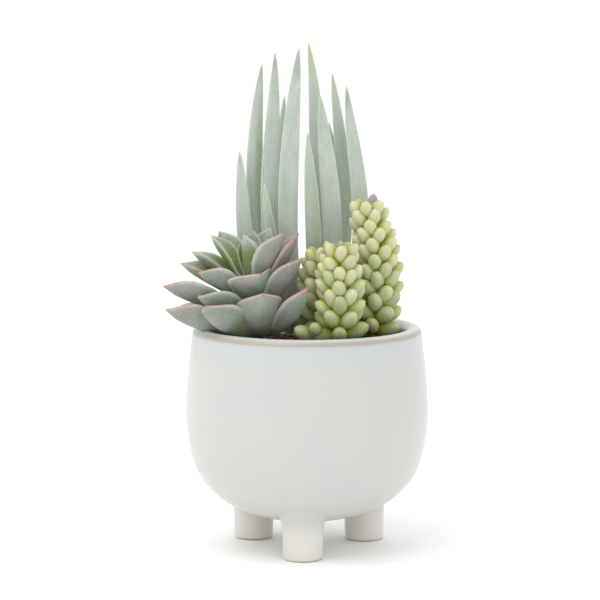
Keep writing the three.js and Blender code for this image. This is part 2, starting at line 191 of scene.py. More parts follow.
def spline(profile, steps):
    """Points along the Catmull-Rom curve of a profile. Between points b and c, with a before and
    d after, it is the cubic that leaves b by (c - a) / 2 and arrives at c by (d - b) / 2."""
    points = np.array(profile, float)
    share = np.linspace(0, len(points) - 1, steps + 1)
    start = np.minimum(share.astype(int), len(points) - 2)
    t = (share - start)[:, None]
    a, b = points[np.maximum(start - 1, 0)], points[start]
    c, d = points[start + 1], points[np.minimum(start + 2, len(points) - 1)]
    leave, arrive = (c - a) / 2, (d - b) / 2
    return (b + leave * t + (3 * (c - b) - 2 * leave - arrive) * t**2
            + (2 * (b - c) + leave + arrive) * t**3)


def closed_skin(rings, start, end, **marks):
    """A closed skin over rings of points, (rows, columns, 3), with a fan from a point at each end.
    Corner (i, j) is joined to (i + 1, j), (i + 1, j + 1) and (i, j + 1), and the last column to the
    first. A mark is a number at each corner, given for the rings and continued to the ends."""
    rows, columns = rings.shape[:2]
    i, j = np.meshgrid(np.arange(rows - 1), np.arange(columns), indexing="ij")
    after = (j + 1) % columns
    quads = np.stack([i * columns + j, (i + 1) * columns + j, (i + 1) * columns + after,
                      i * columns + after], -1).reshape(-1, 4)
    around = np.arange(columns)
    onward = (around + 1) % columns
    first, top = rows * columns, (rows - 1) * columns
    starts = np.stack([np.full(columns, first), around, onward], -1)
    ends = np.stack([np.full(columns, first + 1), top + onward, top + around], -1)
    points = np.vstack([rings.reshape(-1, 3), start, end])
    carried = {}
    for name, mark in marks.items():
        spread = np.broadcast_to(mark, (rows, columns))
        carried[name] = np.concatenate([spread.ravel(), [spread[0].mean(), spread[-1].mean()]])
    return {"points": points, "quads": quads, "fans": np.vstack([starts, ends]), "marks": carried}


def mesh_piece(name, skins, finish):
    """One object from a list of skins with points in millimetres from the pot's axis, smoothly
    shaded, riding on the part's one body."""
    counts = [len(skin["points"]) for skin in skins]
    offsets = np.cumsum([0, *counts[:-1]])
    points = np.vstack([skin["points"] for skin in skins]) * MM + pot_axis
    quads = np.vstack([skin["quads"] + offset for skin, offset in zip(skins, offsets)])
    fans = np.vstack([skin["fans"] + offset for skin, offset in zip(skins, offsets)])
    mesh = bpy.data.meshes.new(name)
    mesh.from_pydata(points.tolist(), [], quads.tolist() + fans.tolist())
    for mark in skins[0]["marks"]:
        layer = mesh.attributes.new(mark, "FLOAT", "POINT")
        values = np.concatenate([skin["marks"][mark] for skin in skins])
        layer.data.foreach_set("value", values)
    mesh.polygons.foreach_set("use_smooth", np.ones(len(mesh.polygons), bool))
    mesh.materials.append(finish.material)
    mesh.update()
    piece = bpy.data.objects.new(name, mesh)
    bpy.context.scene.collection.objects.link(piece)
    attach(piece, "root")
    return piece


def turned(profile, centre, sides, **marks):
    """A profile of [radius, height] rows turned round an upright axis: row i, side j lies at
    radius_i (cos a_j, sin a_j) with a_j going clockwise, so that the skin faces outwards."""
    angle = -2 * np.pi * np.arange(sides) / sides
    radius, height = profile[1:-1, :1], profile[1:-1, 1:]
    x = centre[0] + radius * np.cos(angle)
    y = centre[1] + radius * np.sin(angle)
    rings = np.stack([x, y, np.broadcast_to(height, x.shape)], -1)
    ends = [[*centre, profile[row, 1]] for row in (0, -1)]
    trimmed = {name: mark[1:-1, None] for name, mark in marks.items()}
    return closed_skin(rings, *ends, **trimmed)


outside = spline(POT_OUTSIDE, OUTSIDE_STEPS)
inside = spline(POT_INSIDE, INSIDE_STEPS)
lip_turn = np.radians(np.linspace(0, 180, LIP_STEPS + 1)[1:-1])
lip_middle = (POT_OUTSIDE[-1][0] + POT_INSIDE[0][0]) / 2
lip_half = (POT_OUTSIDE[-1][0] - POT_INSIDE[0][0]) / 2
lip = np.stack([lip_middle + lip_half * np.cos(lip_turn),
                POT_OUTSIDE[-1][1] + LIP_HEIGHT * np.sin(lip_turn)], -1)
pot_profile = np.vstack([outside, lip, inside])
pot_profile[:, 0] *= (pot_high.y - pot_low.y) / 2 / MM / pot_profile[:, 0].max()
outer_turn = np.minimum((outside[:, 1] - POT_OUTSIDE[-1][1]) * TURN_PER_MM, 0)
inner_turn = 180 + (POT_INSIDE[0][1] - inside[:, 1]) * TURN_PER_MM
turn_of_row = np.concatenate([outer_turn, np.degrees(lip_turn), inner_turn])
thin_glaze = np.exp(-((turn_of_row - THIN_GLAZE_TURN) / THIN_GLAZE_SPREAD) ** 2)


def foot_skin(angle):
    """A foot: a flat sole with a rounded edge, a straight wall, and a flare that leaves the wall
    upright and meets the belly along its slope, by a cubic Bezier from each side's wall to the
    belly there."""
    centre = FOOT_CIRCLE * np.array([np.cos(angle), np.sin(angle)])
    turn = -2 * np.pi * np.arange(FOOT_SIDES) / FOOT_SIDES
    widest = outside[:, 0].argmax()
    sole_top = SOLE_EDGE[-1][1]

    def belly(reach):
        """Height of the pot's underside at this reach from the foot's middle, on each side."""
        x = centre[0] + reach * np.cos(turn)
        y = centre[1] + reach * np.sin(turn)
        return np.interp(np.hypot(x, y), outside[:widest, 0], outside[:widest, 1])

    def row(radius, height):
        """A row of the foot: its radius and its height on each side."""
        return np.broadcast_to(radius, FOOT_SIDES), np.broadcast_to(height, FOOT_SIDES)

    rows = [row(*edge) for edge in SOLE_EDGE]
    meeting = belly(FOOT_RADIUS + FOOT_FLARE)
    near = belly(FOOT_RADIUS + FLARE_EASE * FOOT_FLARE)
    below = belly(FOOT_RADIUS) - FLARE_DROP
    for share in (0.25, 0.5, 0.75):
        rows.append(row(FOOT_RADIUS - FOOT_TAPER * (1 - share),
                        sole_top + (below - sole_top) * share))
    radii = [FOOT_RADIUS, FOOT_RADIUS, FOOT_RADIUS + FLARE_EASE * FOOT_FLARE,
             FOOT_RADIUS + FOOT_FLARE]
    heights = [below, below + FLARE_LIFT * FLARE_DROP, near, meeting + FLARE_OVERLAP]
    for t in np.linspace(0, 1, FLARE_STEPS + 1):
        share = np.array([(1 - t) ** 3, 3 * t * (1 - t) ** 2, 3 * t**2 * (1 - t), t**3])
        rows.append(row(share @ np.array(radii), share @ np.array(heights)))
    radius, height = (np.array(part) for part in zip(*rows))
    x, y = centre[0] + radius * np.cos(turn), centre[1] + radius * np.sin(turn)
    rings = np.stack([x, y, height], -1)
    return closed_skin(rings, [*centre, 0], [*centre, belly(0).mean() + FOOT_ROOT], thin=0)


glaze = Finish("white_glaze", Coat_Weight=0.2, Coat_Roughness=0.15, IOR=1.5)
cloud = glaze.noise(26, 3)
streaks = glaze.noise(120, 4, 0.6)
height = glaze.node("ShaderNodeSeparateXYZ", {}, {0: glaze.object_place}, 2)
# A cooler band near the lip: pooled glaze with a painted reflection, plus cool mottle of the glaze.
pooled_and_reflected = glaze.step(height, *POOLED_REFLECTED_HEIGHTS) * 0.6 + glaze.step(cloud, 0.5, 0.75) * 0.5
# A warmer tint near the bottom is painted warm bounce light on the feet in the pot's shade; the
# cloud part is the glaze's own mottle.
warm_bounce_and_mottle = glaze.step(height, *BOUNCE_HEIGHTS) * 0.7 + glaze.step(cloud, 0.5, 0.25) * 0.45
thin = glaze.attribute("thin")
clay = glaze.step(thin + (streaks - 0.5) * 0.5, 0.35, 0.85)
bare = glaze.step(height + (streaks - 0.5) * 0.0006, *WIPED_HEIGHTS)
colour = glaze.mix(glaze.step(pooled_and_reflected, 0, 1), paint(*GLAZE_WHITE), paint(*GLAZE_POOLED_AND_REFLECTED))
colour = glaze.mix(glaze.step(warm_bounce_and_mottle, 0, 1), colour, paint(*GLAZE_WARM_BOUNCE_AND_MOTTLE))
# Paler glaze near the feet: painted fill light on the feet in the pot's shadow.
colour = glaze.mix(glaze.step(height, *FEET_LIGHT_HEIGHTS) * 0.45, colour, paint(*FEET_PAINTED_LIGHT))
beige = glaze.step(thin, 0, 0.7) * 0.4 + clay * 0.35
colour = glaze.mix(beige, colour, paint(*CLAY_BEIGE))
colour = glaze.mix(bare, colour, paint(*SOLE_CLAY))
glaze.surface(Base_Color=colour, Roughness=0.26 + glaze.noise(300, 3) * 0.1 + bare * 0.4,
              Normal=glaze.relief(glaze.noise(90, 2) + glaze.noise(900, 2) * 0.12, 0.0004, 0.35))

pot_skin = turned(pot_profile, (0, 0), POT_SIDES, thin=thin_glaze)
feet = [foot_skin(np.radians(FOOT_FIRST_ANGLE + 360 / FOOT_COUNT * k)) for k in range(FOOT_COUNT)]
pot = mesh_piece("pot_glazed", [pot_skin, *feet], glaze)
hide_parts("pot")

# ---- The soil ----
# A dark bark-and-peat mix that fills the pot to a few millimetres below the lip, settled unevenly,
# with crumbs of bark, grit and a few pale grains of pumice lying on it.
GAP = 0.3
SOIL_LEVEL = 95.3
SOIL_RISE = 1.6
SOIL_WAVES = 0.5
SOIL_SHOULDER = 1.5
SOIL_SIDES = 168
SOIL_ROWS = 60
# The fill's own shade. A crumb draws one from 0 to 1, and the paler ones stand out.
SOIL_SHADE = 0.3
SOIL_SEED = 11
LUMP_WAVES = 24
LUMP_PACE = (1.2, 4.2)
LUMP_HEIGHT = 0.1
LUMP_SINK = 0.15
CRUMBS = 1500
CRUMB_SEED = 5
CRUMB_SIZE = (0.45, 1.5)
CRUMB_SQUASH = (0.45, 1)
CRUMB_DENTS = (0.75, 1.15)
CRUMB_RISE = 0.15
CRUMB_MARGIN = 1.2
SOIL_DARK = (72, 59, 46)
SOIL_BROWN = (132, 116, 95)
CRUMB_TAN = (158, 144, 122)
PUMICE_PALE = (196, 188, 172)
# The oval of soil that the crown of the sword leaves fills.
CROWN_CENTRE = np.array([-1, 19])
CROWN_RADII = np.array([14.5, 10])
rim_reach = POT_INSIDE[0][0] - 2 * GAP


def soil_height(x, y):
    """Height of the soil: a gentle rise to the back right, two slow waves, and crumbly lumps made
    of small plane waves with random directions and phases, the longer the higher."""
    slow = np.sin(x * 0.9 + 1) * np.cos(y * 0.8) + np.sin(x * 0.37 - y * 0.51)
    draw = np.random.default_rng(SOIL_SEED)
    direction, phase = draw.uniform(0, 2 * np.pi, (2, LUMP_WAVES))
    pace = draw.uniform(*LUMP_PACE, LUMP_WAVES)
    along_wave = x[..., None] * np.cos(direction) + y[..., None] * np.sin(direction)
    lumps = (np.sin(pace * along_wave + phase) / pace).sum(-1)
    level = SOIL_LEVEL + SOIL_RISE * (x + y) / (2 * POT_INSIDE[0][0]) + SOIL_WAVES * slow / 2
    return level + lumps * LUMP_HEIGHT - LUMP_SINK


angle = -2 * np.pi * np.arange(SOIL_SIDES) / SOIL_SIDES
wall = inside[inside[:, 1] < SOIL_LEVEL - SOIL_SHOULDER][:-1][::-1]
wall_reach = wall[:, :1] - GAP
wall_rings = np.stack([wall_reach * np.cos(angle), wall_reach * np.sin(angle),
                       np.broadcast_to(wall[:, 1:] + GAP, (len(wall), SOIL_SIDES))], -1)
reach = rim_reach * np.linspace(1, 0.01, SOIL_ROWS)[:, None]
x, y = reach * np.cos(angle), reach * np.sin(angle)
top_rings = np.stack([x, y, soil_height(x, y)], -1)
soil_skin = closed_skin(np.vstack([wall_rings, top_rings]), [0, 0, POT_INSIDE[-1][1] + GAP],
                        [0, 0, soil_height(np.zeros(1), np.zeros(1))[0]], shade=SOIL_SHADE)


def crumb_skin(count):
    """Crumbs: copies of an icosahedron, each corner pushed in or out at random, squashed, turned by
    a random rotation and scattered over the soil, half sunk in it. The corners of the icosahedron
    are (0, 1, g), with g the golden ratio, in every order and sign, and its faces are the triples
    of corners that lie an edge apart."""
    draw = np.random.default_rng(CRUMB_SEED)
    golden = (1 + 5**0.5) / 2
    flat = np.array([[s, t * golden] for s in (-1, 1) for t in (-1, 1)], float)
    zero = np.zeros((4, 1))
    ball = np.vstack([np.hstack([zero, flat]), np.hstack([flat, zero]),
                      np.hstack([flat[:, 1:], zero, flat[:, :1]])]) / golden
    steps = np.linalg.norm(ball[:, None] - ball[None], axis=-1)
    edge = steps[steps > 0.1].min() * 1.01
    near = (steps < edge) & (steps > 0.1)
    faces = [(a, b, c) for a in range(12) for b in range(a + 1, 12) for c in range(b + 1, 12)
             if near[a, b] and near[b, c] and near[a, c]]
    faces = [f if np.linalg.det(ball[list(f)]) > 0 else f[::-1] for f in faces]
    radius = rim_reach * np.sqrt(draw.uniform(0, 1, count))
    turn = draw.uniform(0, 2 * np.pi, count)
    place = np.stack([radius * np.cos(turn), radius * np.sin(turn)], -1)
    clear = (((place - CROWN_CENTRE) / (CROWN_RADII + 1)) ** 2).sum(-1) > 1
    place = place[clear & (radius < rim_reach - CRUMB_MARGIN)]
    count = len(place)
    size = CRUMB_SIZE[0] + (CRUMB_SIZE[1] - CRUMB_SIZE[0]) * draw.uniform(0, 1, count) ** 3
    turns, _ = np.linalg.qr(draw.normal(size=(count, 3, 3)))
    turns[:, 0] *= np.sign(np.linalg.det(turns))[:, None]
    squash = draw.uniform(*CRUMB_SQUASH, (count, 1, 3))
    corners = ball * squash * draw.uniform(*CRUMB_DENTS, (count, 12, 1)) * size[:, None, None]
    corners = np.einsum("nij,nkj->nki", turns, corners)
    height = soil_height(place[:, 0], place[:, 1]) + CRUMB_RISE * size
    corners += np.concatenate([place, height[:, None]], -1)[:, None]
    fans = (np.array(faces) + 12 * np.arange(count)[:, None, None]).reshape(-1, 3)
    shade = np.repeat(draw.uniform(0, 1, count), 12)
    return {"points": corners.reshape(-1, 3), "quads": np.zeros((0, 4), int), "fans": fans,
            "marks": {"shade": shade}}


earth = Finish("potting_soil", Specular_IOR_Level=0.25)
clods = earth.noise(420, 5, 0.65)
shade = earth.attribute("shade")
colour = earth.mix(earth.step(clods, 0.35, 0.7), paint(*SOIL_DARK), paint(*SOIL_BROWN))
colour = earth.mix(earth.step(shade, 0.4, 0.65), colour, paint(*CRUMB_TAN))
colour = earth.mix(earth.step(shade, 0.85, 0.95), colour, paint(*PUMICE_PALE))
earth.surface(Base_Color=colour, Roughness=0.85 + earth.noise(800, 2) * 0.15,
              Normal=earth.relief(earth.noise(1400, 5, 0.7) + clods * 0.6, 0.0012, 0.9))
soil = mesh_piece("soil_fill", [soil_skin, crumb_skin(CRUMBS)], earth)
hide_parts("soil")

# ---- The rosette ----
# A short-stemmed rosette of thick, cupped, pointed leaves with a powdery bloom, mottled green and
# mauve. The bloom thins towards each leaf's olive foot, and the margins flush pink near the tips.
ROSETTE_FOOT = np.array([-21.0, -12, 96])
ROSETTE_TOP = np.array([-26.0, -13, 124])
ROSETTE_STEM_RADIUS = 4.2
ROSETTE_STEM_SIDES = 24
STEM_SHARES = (0.25, 0.5, 0.75, 0.95)
STEM_SWELL = np.array([1, 1.05, 1.1, 1.1, 1, 0.9, 0.5])
# The stem counts as this far from a leaf's margin, so its skin has no pale edge.
STEM_MARGIN = 9
LEAF_THICK = 3.6
LEAF_THINNEST = 0.8
LEAF_THINNING = 0.55
LEAF_CUP = 0.7
LEAF_CUP_GROWTH = 2.2
LEAF_KEEL = 0.1
LEAF_FOOT = 0.12
LEAF_RISE = 0.85
LEAF_FALL = 5
LEAF_TWIST = 5
LEAF_SEED = 100
LEAF_TIP_FROM = 0.75
LEAF_TIP_DRAWN = 0.3
LEAF_ROWS = 30
LEAF_SIDES = 32
# Where a leaf's first and last rows and its point lie along it, and how much closer together the
# rows stand towards the point.
LEAF_SPAN = (0.02, 0.985)
LEAF_POINT = 0.9985
LEAF_CROWDING = 1.25
# Each leaf: azimuth, rise at its root, how much more it curls up, length, width, seat on the stem
# from its foot to its top, roll, which lowers the margin on the right of someone looking out, how
# pink its margins are and how green it is.
ROSETTE_LEAVES = [
    [-170, -5, 40, 44.6, 19, 0.12, 20, 0.7, 0.35], [-132, -5.2, 60, 39.2, 19, 0.1, 16, 0.8, 0.5],
    [-85, 11, 62, 35, 21, 0.06, 12, 0.9, 0.3], [-36, -0.4, 80, 38.1, 15, 0.12, 0, 1, 0.15],
    [5, 45, 25, 20, 15, 0.15, 0, 0.5, 0.5], [45, 30, 30, 26, 16, 0.15, 0, 0.4, 0.5],
    [95, 25, 30, 26, 17, 0.15, 0, 0.8, 0.5], [140, 12, 25, 33, 17, 0.15, 0, 0.8, 0.5],
    [160, 1, 20, 38, 15, 0.25, 0, 0.6, 0.6], [-148, 12, 20, 33, 18, 0.32, 12, 0.4, 0.45],
    [-20, 42, 20, 35.5, 18, 0.35, 0, 1, 0.1], [25, 46, 20, 27, 15, 0.42, 0, 0.3, 0.5],
    [70, 38, 30, 26, 15, 0.45, 0, 0.2, 0.3], [118, 32, 20, 28, 15, 0.5, 0, 0.2, 0.3],
    [182, 4, 24, 43.2, 20, 0.45, 10, 0.9, 0.5], [-77, 19, 44, 22.5, 23, 0.62, 18, 1, 0.4],
    [0, 51, 15, 38.5, 14, 0.55, 10, 1, 0.1], [168, 21, 10, 37.5, 15, 0.62, -10, 0.8, 0.5],
    [-160, 16.5, 20, 29, 17, 0.66, 12, 0.9, 0.45], [-28, 54, 15, 33.5, 17, 0.7, 0, 0.8, 0.2],
    [160, 25.5, 10, 33.5, 13, 0.78, 0, 0.3, 0.9], [125, 38.5, 10, 36, 13, 0.8, 0, 0.2, 1],
    [55, 56, 10, 31, 11, 0.8, 0, 0.1, 0.3], [80, 68, 10, 26, 9, 0.85, 0, 0.1, 0.8],
    [155, 43, 12, 30, 12, 0.85, 0, 0.2, 1], [95, 66, 10, 20, 11, 0.95, 0, 0.1, 0.8],
    [-140, 76.8, 8, 22.8, 11, 0.9, 0, 0.1, 1], [-40, 70, 20, 11, 6, 1, 0, 0.1, 0.6],
]
BLOOM_GREY = (146, 153, 143)
BLOOM_PALE = (167, 176, 164)
FOOT_OLIVE = (112, 130, 54)
BACK_PAINTED_SHADE = (128, 128, 124)
MARGIN_PINK = (205, 112, 106)
MOTTLE_GREEN = (122, 138, 104)
MOTTLE_MAUVE = (150, 138, 143)
FOOT_PAINTED_SHADE = (92, 88, 70)
POWDER_PALE = (190, 197, 187)
GRAIN_PALE = (206, 211, 201)
MARGIN_FROST_AND_HIGHLIGHT = (200, 206, 197)
TIP_RED = (196, 84, 88)
UP = np.array([0.0, 0, 1])
# How sharply a blade's face bends up to its margins, and how full its face is beside its back.
CUP_BEND = 1.7
FACE_FULLNESS = 0.55


def heading(azimuth, rise):
    """Unit vectors that point to an azimuth and rise by an angle, both in degrees."""
    azimuth, rise = np.radians(azimuth), np.radians(rise)
    return np.stack([np.cos(rise) * np.cos(azimuth), np.cos(rise) * np.sin(azimuth),
                     np.sin(rise) * np.ones_like(azimuth)], -1)


def unit(vectors):
    """The same directions, each of length 1."""
    return vectors / np.linalg.norm(vectors, axis=-1, keepdims=True)


def blade_rings(middle, tangent, across, half, thick, cup, keel, sides):
    """Rings of a blade. At turn a the point lies half * cos a to the side and rises by
    cup * |cos a| ** CUP_BEND + thick / 2 * sin a, with the face FACE_FULLNESS as full as the back,
    and the back ridged by keel * (1 - |cos a|) * sin a * half / 2."""
    side = unit(across - (across * tangent).sum(-1, keepdims=True) * tangent)
    up = np.cross(side, tangent)
    turn = 2 * np.pi * np.arange(sides) / sides
    reach, height = np.cos(turn), np.sin(turn)
    fullness = np.where(height > 0, FACE_FULLNESS, 1) * height / 2
    ridge = np.where(height < 0, keel * (1 - np.abs(reach)) * height / 2, 0)
    bend = cup[:, None] * np.abs(reach) ** CUP_BEND
    lift = bend + thick[:, None] * fullness + half[:, None] * ridge
    rings = (middle[:, None] + side[:, None] * (half[:, None] * reach)[..., None]
             + up[:, None] * lift[..., None])
    return rings, reach, height


def rosette_leaf(row, number):
    """A leaf along an arc that starts at its rise and curls up. With u going from the foot's share
    to 1, its half width goes with u ** LEAF_RISE * (1 - u ** LEAF_FALL), drawn in a little before
    its point."""
    azimuth, rise, curl, length, width, seat, roll, pink, green = row
    draw = np.random.default_rng(LEAF_SEED + number)
    base = ROSETTE_FOOT + (ROSETTE_TOP - ROSETTE_FOOT) * seat
    t = 1 - (1 - np.linspace(*LEAF_SPAN, LEAF_ROWS)) ** LEAF_CROWDING
    start, bend = np.radians(rise), np.radians(curl)
    outward = heading(azimuth, 0)
    spine = np.append(t, [0, LEAF_POINT])
    slope = start + bend * spine
    run = length / bend * (np.sin(slope) - np.sin(start))
    climb = length / bend * (np.cos(start) - np.cos(slope))
    middle = base + run[:, None] * outward + climb[:, None] * UP
    tangent = heading(np.full(LEAF_ROWS, float(azimuth)), rise + curl * t)
    level = np.cross(outward, UP)
    lean = np.radians(roll + LEAF_TWIST * draw.uniform(-1, 1) * t)[:, None]
    across = level * np.cos(lean) + np.cross(tangent, level) * np.sin(lean)
    widest = (LEAF_RISE / (LEAF_RISE + LEAF_FALL)) ** (1 / LEAF_FALL)
    fullest = widest**LEAF_RISE * (1 - widest**LEAF_FALL)
    u = LEAF_FOOT + (1 - LEAF_FOOT) * t
    half = width / 2 * u**LEAF_RISE * (1 - u**LEAF_FALL) / fullest
    to_tip = np.clip((t - LEAF_TIP_FROM) / (1 - LEAF_TIP_FROM), 0, 1)
    half *= 1 - LEAF_TIP_DRAWN * to_tip**2
    thick = np.maximum(LEAF_THICK * (1 - LEAF_THINNING * t), LEAF_THINNEST)
    thick *= np.minimum(6 * (1 - t) + 0.15, 1)
    cup = LEAF_CUP * half * np.minimum(LEAF_CUP_GROWTH * t, 1)
    rings, reach, height = blade_rings(middle[:-2], tangent, across, half, thick, cup, LEAF_KEEL,
                                       LEAF_SIDES)
    from_margin = half[:, None] * (1 - np.abs(reach))
    return closed_skin(rings, middle[-2], middle[-1], along=t[:, None], margin=from_margin,
                       face=height[None], pink=pink, green=green)


def rod_skin(places, radii, sides, **marks):
    """A round rod along a run of points, given its radius at each, closed at both ends."""
    places, radii = np.array(places, float), np.array(radii, float)
    tangent = unit(np.gradient(places, axis=0))
    side = unit(np.cross(tangent, [0.31, 0.95, 0.05]))
    up = np.cross(side, tangent)
    turn = 2 * np.pi * np.arange(sides) / sides
    ring = side[:, None] * np.cos(turn)[:, None] + up[:, None] * np.sin(turn)[:, None]
    rings = places[:, None] + radii[:, None, None] * ring
    return closed_skin(rings, places[0], places[-1], **marks)


skin = Finish("rosette_skin", Subsurface_Weight=0.12, Subsurface_Scale=0.004,
              Subsurface_Radius=(0.7, 0.8, 0.4))
marks = (skin.attribute(name) for name in ("along", "margin", "face", "green"))
along, margin, face, green = marks
patches = skin.noise(160, 4, 0.6)
powder = skin.noise(1500, 4, 0.7)
mottle = skin.noise(85, 4, 0.65)
colour = skin.mix(skin.step(patches, 0.35, 0.7), paint(*BLOOM_GREY), paint(*BLOOM_PALE))
back = skin.step(face, 0.2, -0.4)
# Painted shade: the leaves' backs are a darker grey, less so on greener leaves.
colour = skin.mix(back * (0.6 - 0.6 * green), colour, paint(*BACK_PAINTED_SHADE))
colour = skin.mix(skin.step(mottle, 0.5, 0.64) * 0.5, colour, paint(*MOTTLE_GREEN))
mauve = skin.step(mottle, 0.54, 0.4) * (0.6 - 0.45 * green)
colour = skin.mix(mauve, colour, paint(*MOTTLE_MAUVE))
olive = skin.step(along + (patches - 0.5) * 0.3 - green * 0.45, 0.47, 0.17) * (0.35 + 0.6 * green)
colour = skin.mix(olive, colour, paint(*FOOT_OLIVE))
# Painted shade on the leaves' backs towards their feet, close to the soil.
painted_foot_shade = skin.step(along, 0.4, 0.08) * back * (1 - green)
colour = skin.mix(painted_foot_shade * 0.8, colour, paint(*FOOT_PAINTED_SHADE))
colour = skin.mix(skin.step(powder, 0.45, 0.75) * 0.4, colour, paint(*POWDER_PALE))
colour = skin.mix(skin.specks(1300, 0.32) * 0.22, colour, paint(*GRAIN_PALE))
# Paler margins: the leaves' frosty rims, partly a painted edge highlight.
colour = skin.mix(skin.step(margin, 1.3, 0.2) * 0.65, colour, paint(*MARGIN_FROST_AND_HIGHLIGHT))
pink = skin.attribute("pink")
edge = margin + (patches - 0.5) * 2.4 - skin.step(along, 0.7, 0.98) * 0.35
flush = skin.step(edge, 0.35, 0.0) * skin.step(along, 0.4, 0.9)
colour = skin.mix(flush * pink * 0.75, colour, paint(*MARGIN_PINK))
colour = skin.mix(skin.step(along, 0.955, 0.99) * pink * 0.7, colour, paint(*TIP_RED))
skin.surface(Base_Color=colour, Roughness=0.55 + powder * 0.2,
             Normal=skin.relief(powder * 0.4 + patches, 0.0005, 0.4))

leaves = [rosette_leaf(row, number) for number, row in enumerate(ROSETTE_LEAVES)]
stem_run = [ROSETTE_FOOT - [0, 0, 14], ROSETTE_FOOT - [0, 0, 4], ROSETTE_FOOT,
            *(ROSETTE_FOOT + (ROSETTE_TOP - ROSETTE_FOOT) * share for share in STEM_SHARES)]
rosette_stem = rod_skin(stem_run, ROSETTE_STEM_RADIUS * STEM_SWELL, ROSETTE_STEM_SIDES, along=0,
                        margin=STEM_MARGIN, face=0, pink=0, green=0)
rosette = mesh_piece("rosette_leaves", [*leaves, rosette_stem], skin)
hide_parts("rosette")

# ---- The sword leaves ----
# Thirteen stiff upright leaves from one crown, each with a flat face, a soft keel down its back and
# a long taper. A grey-white bloom lies over pale green, in fine lengthwise lines and mottling with
# scattered specks, and the tips are dry and grey or yellow-green.
SWORD_THICK = 2.6
SWORD_CUP = 0.12
SWORD_KEEL = 0.25
SWORD_THINNEST = 0.7
SWORD_FOOT_WIDTH = 0.72
SWORD_BLUNTNESS = 0.72
SWORD_THINNING = 0.25
SWORD_FOOT_LEVEL = 92
SWORD_SEED = 200
SWORD_SPAN = (0.01, 0.998)
SWORD_CROWDING = 1.2
SWORD_ROWS = 56
SWORD_SIDES = 28
CROWN_HEIGHTS = [74, 84, 92, 94.5, 95.8, 96.6, 97]
CROWN_SHARES = [1, 1, 1, 0.98, 0.9, 0.7, 0.4]
CROWN_PEAK = 97.1
CROWN_SIDES = 48
CROWN_MARGIN = 9
# Each leaf: its foot in the crown, two points that it passes, its tip, its width, the azimuth that
# its keeled back faces, how green it is on its left and on its right half, the greener half partly
# painted shade on the side turned from the lamp, and how yellow its tip is.
SWORD_LEAVES = [
    [[-9, 17], [-27.8, 14, 138.4], [-29.5, 14, 160], [-30.7, 14, 179.1], 8, -110, 0.25, 0.35, 0.2],
    [[-8, 20], [-22.9, 22, 144.6], [-23.8, 22, 179.1], [-20.5, 22, 218.8], 8, -90, 0.1, 1.1, 0.1],
    [[-6, 16], [-16.9, 15, 145.2], [-16.4, 15, 179.5], [-14.5, 15, 223.9], 8.3, -80, 0.05, 0.25, 0],
    [[-4, 24], [-11, 28, 140], [-11.5, 28, 179.1], [-10.3, 28, 204], 7, 90, 0.4, 0.4, 0.5],
    [[-5, 25], [-13, 30, 140], [-13, 30, 168], [-12.2, 30, 190.6], 7, 110, 0.6, 0.6, 0.4],
    [[-3, 14], [-8.6, 10, 145.2], [-7.7, 10, 179.8], [-3.6, 10, 226], 9, -90, 0.1, 0.1, 0.0],
    [[-7, 13], [-14, 6.5, 130], [-17.5, 6, 150], [-19.2, 6, 164.8], 6, -100, 0.4, 0.8, 0.5],
    [[2, 22], [4, 22, 145], [4.2, 22, 190], [0.5, 22, 228.5], 8, -80, 0.2, 0.15, 1.0],
    [[5, 14], [11.4, 10, 145.2], [8.6, 10, 179.8], [5.9, 10, 204.8], 9, -90, 0.1, 0.15, 0.2],
    [[1, 12.5], [2.9, 6, 141.5], [1.8, 6, 161.9], [0.2, 6, 188.1], 7.2, -90, 0.5, 0.75, 0.5],
    [[3, 25], [12, 28, 140], [12.4, 28, 170], [10, 28, 191.6], 7, 90, 0.5, 0.5, 0.4],
    [[6, 21], [17.1, 24, 144.4], [15.6, 24, 179], [11.4, 24, 214.6], 8.3, -60, 0.55, 0.75, 0.4],
    [[7.5, 17], [24.5, 16, 144], [21.4, 16, 179.4], [17.9, 16, 208.7], 8.3, -70, 0.15, 0.3, 0.0],
]
SWORD_PALE = (193, 199, 193)
SWORD_COOL = (184, 193, 187)
SWORD_GREEN_AND_SHADE = (140, 157, 124)
SWORD_TIP = (176, 186, 132)
SWORD_DRY = (150, 151, 144)
SWORD_MOTTLE = (166, 181, 158)
SWORD_LINE = (160, 176, 158)
SWORD_FOOT = (150, 166, 120)
SWORD_EDGE = (214, 220, 208)
SWORD_SPECK = (228, 233, 228)
SWORD_GRAIN = (218, 225, 219)
SWORD_POWDER = (216, 223, 217)


def cubic_through(points, t):
    """The cubic that passes four points at shares of the way that go with their distances: a sum of
    the points, each weighted by the product of (t - other) / (own - other) over the other shares.
    """
    knots = np.append(0, np.cumsum(np.linalg.norm(np.diff(points, axis=0), axis=1)))
    knots /= knots[-1]
    place = np.zeros((len(t), 3))
    for own, point in zip(knots, points):
        others = knots[knots != own]
        place += np.prod((t[:, None] - others) / (own - others), axis=1)[:, None] * point
    return place


